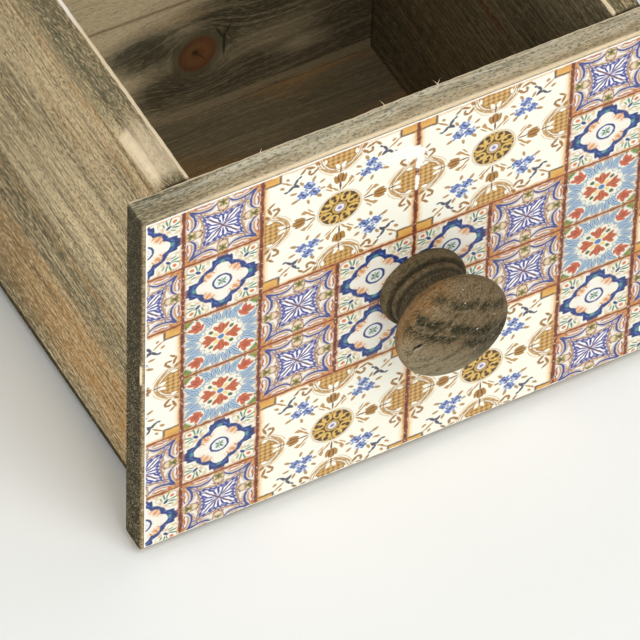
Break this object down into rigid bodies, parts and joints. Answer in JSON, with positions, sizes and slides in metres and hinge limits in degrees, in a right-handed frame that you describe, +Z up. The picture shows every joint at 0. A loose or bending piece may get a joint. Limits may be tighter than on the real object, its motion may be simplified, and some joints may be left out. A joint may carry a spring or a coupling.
{
  "type": "utensil caddy",
  "caption": "Small wooden utensil caddy: a deep open-topped drawer with an overlay front, tile-pattern print and turned wooden knob, sliding in a plain case.",
  "frame": {"origin": "centre of the case's underside, on the surface that it stands on", "axes": "+X to the right of someone facing the drawer, +Y to the back, +Z up; the drawer pulls out towards -Y"},
  "size_m": [0.17, 0.2955, 0.1493],
  "materials": {
    "stained_pine_case": "grey-brown stain, sanded edges",
    "stained_pine_drawer": "grey-brown stain, sanded edges",
    "stained_plywood": "brown stain",
    "tile_print_paper": "varnished paper print",
    "turned_wood": "dark stain, satin",
    "steel_fasteners": "bright steel"
  },
  "bodies": {
    "case": {"case_left_side": "stained_pine_case", "case_right_side": "stained_pine_case", "case_top": "stained_pine_case", "case_back": "stained_pine_case", "case_base": "stained_plywood", "case_top_nails": "steel_fasteners", "case_base_pins": "steel_fasteners", "case_back_nails": "steel_fasteners"},
    "drawer": {"drawer_front_board": "stained_pine_drawer", "drawer_left_side": "stained_pine_drawer", "drawer_right_side": "stained_pine_drawer", "drawer_back": "stained_pine_drawer", "drawer_bottom": "stained_plywood", "tile_print": "tile_print_paper", "knob": "turned_wood", "drawer_front_nails": "steel_fasteners", "drawer_back_nails": "steel_fasteners", "drawer_bottom_pins": "steel_fasteners", "knob_screw": "steel_fasteners", "knob_washer": "steel_fasteners"}
  },
  "joints": [
    {"name": "drawer_slide", "type": "slide", "parent": "case", "child": "drawer", "axis": [0, -1, 0], "range_m": [-0.11095, 0.01725]}
  ]
}
